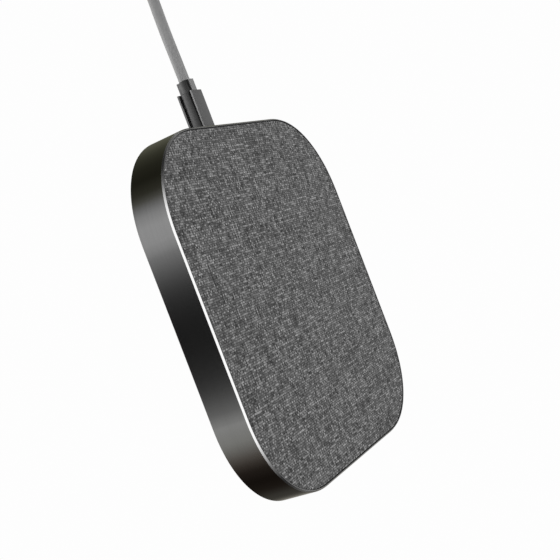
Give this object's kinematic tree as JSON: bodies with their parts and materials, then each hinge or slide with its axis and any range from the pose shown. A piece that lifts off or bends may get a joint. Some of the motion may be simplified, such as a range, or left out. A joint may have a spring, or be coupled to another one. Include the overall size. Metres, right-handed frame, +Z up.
{
  "type": "wireless charging pad",
  "caption": "Low rounded-square wireless charging pad with a dark aluminium rim, a woven fabric top, a silicone foot ring and a captive lead ending in a flat plug.",
  "frame": {"origin": "under the middle of the pad, on the surface it stands on", "axes": "+Z up, +Y towards the edge that the lead leaves, +X to the right of the lead seen from the front edge"},
  "size_m": [0.1367, 0.2108, 0.0113],
  "materials": {
    "rim": "dark grey anodised, satin wall with a bright diamond-cut chamfer at the top",
    "base": "black fine-textured moulding",
    "foot": "matte silicone",
    "fabric": "charcoal plain weave of light and dark yarns",
    "foam": "closed-cell foam",
    "copper": "enamelled copper litz",
    "ferrite": "sintered ferrite",
    "shield": "plain sheet",
    "circuit_board": "green solder mask",
    "chip": "black epoxy",
    "ceramic": "tan ceramic",
    "jacket": "mid-grey satin moulded jacket",
    "strap": "black hook-and-loop strap",
    "steel": "nickel-plated",
    "gold": "gold-plated",
    "red_wire": "insulation",
    "black_wire": "insulation",
    "green_wire": "insulation",
    "white_wire": "insulation"
  },
  "bodies": {
    "root": {"base_cover": "base", "board_screw_1": "steel", "board_screw_2": "steel", "cable_tie_1": "strap", "cable_tie_2": "strap", "coil_frame": "base", "coil_lead_1": "copper", "coil_lead_2": "copper", "controller_chip": "chip", "cord": "jacket", "cord_coil": "jacket", "cord_tail": "jacket", "fabric_cover": "fabric", "ferrite_sheet": "ferrite", "foam_pad": "foam", "foot_ring": "foot", "main_board": "circuit_board", "mosfet_1": "chip", "mosfet_2": "chip", "mosfet_3": "chip", "mosfet_4": "chip", "plug_body": "jacket", "plug_contact_1": "gold", "plug_contact_2": "gold", "plug_contact_3": "gold", "plug_contact_4": "gold", "plug_relief": "jacket", "plug_shell": "steel", "plug_tongue": "base", "power_inductor": "ferrite", "resonant_capacitor_1": "ceramic", "resonant_capacitor_2": "ceramic", "resonant_capacitor_3": "ceramic", "resonant_capacitor_4": "ceramic", "rim": "rim", "screw_1": "steel", "screw_2": "steel", "screw_3": "steel", "screw_4": "steel", "shield_plate": "shield", "strain_relief": "jacket", "thermistor": "ceramic", "top_plate": "base", "transmit_coil": "copper", "wire_data_minus": "white_wire", "wire_data_plus": "green_wire", "wire_ground": "black_wire", "wire_supply": "red_wire"}
  },
  "joints": []
}
